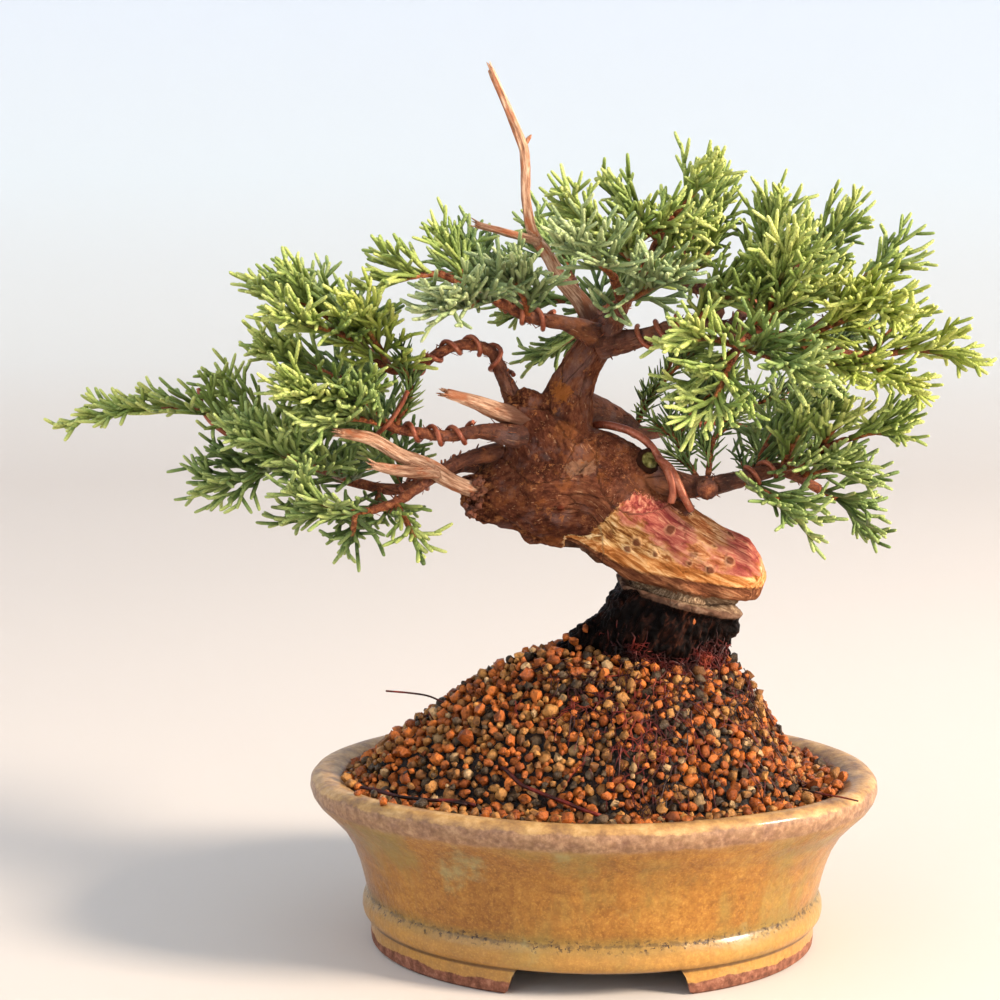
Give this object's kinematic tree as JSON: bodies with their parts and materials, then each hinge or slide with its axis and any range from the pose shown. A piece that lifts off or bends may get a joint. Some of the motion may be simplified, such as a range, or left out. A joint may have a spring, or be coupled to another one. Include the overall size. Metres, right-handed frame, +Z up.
{
  "type": "potted juniper bonsai",
  "caption": "Small juniper bonsai with a thick bent trunk, peeled and dead wood, wired branches and leafy pads, in an oval glazed stoneware pot filled with grainy soil.",
  "frame": {"origin": "middle of the whole plant's footprint, on the surface the pot stands on", "axes": "+Z up, +X along the pot's long side towards its right end, -Y towards the picture's camera"},
  "size_m": [0.2574, 0.1394, 0.2512],
  "materials": {
    "glaze": "amber satin glaze over red-brown stoneware",
    "screen": "dark moulded plastic mesh",
    "soil": "loose fired clay, lava and pumice grains, moist",
    "bark": "rough brown bark, peeled reddish wood and pale dead wood",
    "wire": "copper-brown anodised training wire",
    "foliage_deep": "deep green scale leaves, satin",
    "foliage_mid": "mid green scale leaves, satin",
    "foliage_light": "yellow-green scale leaves, satin",
    "foliage_grey": "grey-green scale leaves, satin"
  },
  "bodies": {
    "root": {"drain_screen": "screen", "foliage_arch_back": "foliage_deep", "foliage_arch_bright": "foliage_light", "foliage_arch_front": "foliage_mid", "foliage_arch_tip": "foliage_mid", "foliage_back_right_tip": "foliage_deep", "foliage_crown_back_left": "foliage_deep", "foliage_crown_back_right": "foliage_deep", "foliage_crown_back_tip": "foliage_deep", "foliage_crown_far": "foliage_mid", "foliage_crown_front_right": "foliage_grey", "foliage_crown_front_tip": "foliage_grey", "foliage_crown_left_back": "foliage_deep", "foliage_crown_left_front": "foliage_grey", "foliage_crown_left_middle": "foliage_grey", "foliage_crown_left_rise": "foliage_mid", "foliage_crown_left_tip": "foliage_mid", "foliage_crown_rise": "foliage_mid", "foliage_crown_tip": "foliage_mid", "foliage_left_fall": "foliage_deep", "foliage_left_low_back": "foliage_deep", "foliage_left_low_front": "foliage_deep", "foliage_left_over": "foliage_deep", "foliage_left_rise": "foliage_mid", "foliage_left_tip": "foliage_mid", "foliage_left_under": "foliage_deep", "foliage_low_hanging": "foliage_mid", "foliage_low_right_back": "foliage_deep", "foliage_low_right_fall": "foliage_deep", "foliage_low_right_rise": "foliage_mid", "foliage_low_right_tip": "foliage_deep", "foliage_low_tip": "foliage_deep", "foliage_middle_back": "foliage_deep", "foliage_middle_fan": "foliage_deep", "foliage_middle_front": "foliage_mid", "foliage_middle_low": "foliage_deep", "foliage_middle_tip": "foliage_mid", "foliage_right_back": "foliage_deep", "foliage_right_curl_tip": "foliage_mid", "foliage_right_front_left": "foliage_mid", "foliage_right_front_right": "foliage_deep", "foliage_right_front_tip": "foliage_mid", "foliage_right_inner_rise": "foliage_mid", "foliage_right_inner_tip": "foliage_mid", "foliage_right_low": "foliage_light", "foliage_right_middle": "foliage_mid", "foliage_right_outer_front": "foliage_light", "foliage_right_outer_tip": "foliage_mid", "foliage_right_tip": "foliage_light", "pot": "glaze", "soil": "soil", "trunk": "bark", "wire_crown_left": "wire", "wire_guide": "wire", "wire_left_arch": "wire", "wire_left_long": "wire", "wire_left_middle": "wire", "wire_low_right": "wire", "wire_right_long": "wire"}
  },
  "joints": []
}
